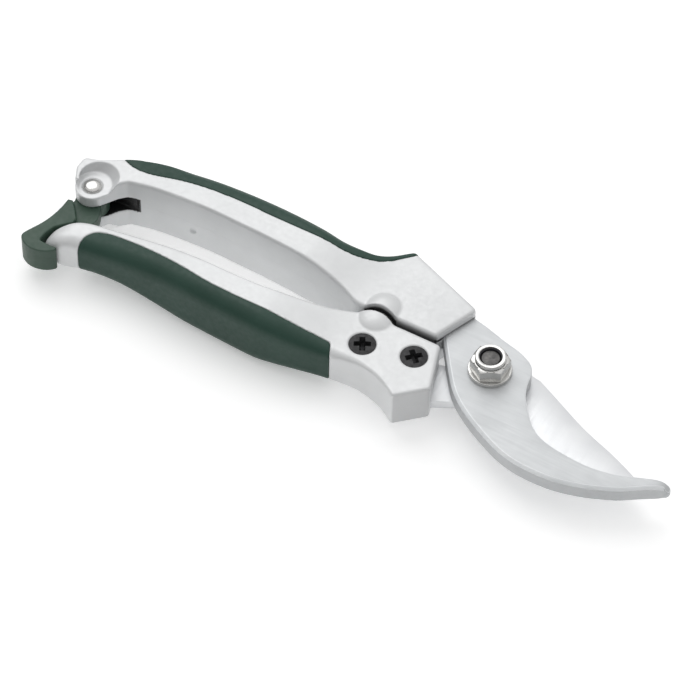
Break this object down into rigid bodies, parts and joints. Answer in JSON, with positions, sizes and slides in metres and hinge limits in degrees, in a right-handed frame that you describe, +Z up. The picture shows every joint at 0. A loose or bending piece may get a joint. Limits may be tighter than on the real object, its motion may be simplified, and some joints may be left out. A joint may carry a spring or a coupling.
{
  "type": "bypass pruner",
  "caption": "Hand pruner shown locked closed: hooked lower jaw, bypass blade, sprung silver handles with green palm grips and a swinging tail catch.",
  "frame": {"origin": "middle of the bounding box in plan, on the plane the closed tool lies on", "axes": "+X towards the jaw tips, +Y towards the handle that carries the hook, +Z up along the pivot bolt towards its nut"},
  "size_m": [0.2006, 0.0526, 0.0194],
  "materials": {
    "cast_aluminium": "satin painted or bead-blasted die casting",
    "green_grip": "fine matt moulded plastic, dark green",
    "tool_steel": "satin ground steel",
    "dark_steel": "blackened steel",
    "stainless": "bright steel",
    "dark_nylon": "dark nylon",
    "black_screw": "black oxide",
    "spring_steel": "plated spring wire",
    "green_catch": "matt moulded plastic, grey green"
  },
  "bodies": {
    "hook_side": {"upper_handle": "cast_aluminium", "upper_grip": "green_grip", "hook_jaw": "tool_steel", "pivot_bolt": "dark_steel", "pivot_back_washer": "stainless", "pivot_washer": "stainless", "pivot_nut": "stainless", "nut_lock_ring": "dark_nylon", "hook_screw_front": "black_screw", "hook_screw_rear": "black_screw", "latch_pin": "stainless", "main_spring": "spring_steel"},
    "blade_side": {"lower_handle": "cast_aluminium", "lower_grip": "green_grip", "cutting_blade": "tool_steel", "blade_screw_front": "black_screw", "blade_screw_rear": "black_screw"},
    "latch": {"latch_lever": "green_catch"}
  },
  "joints": [
    {"name": "handle_open", "type": "hinge", "parent": "hook_side", "child": "blade_side", "pos_m": [0.0387, 0.00079, 0.0095], "axis": [0, 0, 1], "range_deg": [0, 30], "deforming": ["main_spring"]},
    {"name": "latch_swing", "type": "hinge", "parent": "hook_side", "child": "latch", "pos_m": [-0.0916, 0.00099, 0.0095], "axis": [0, 0, -1], "range_deg": [0, 65]}
  ]
}
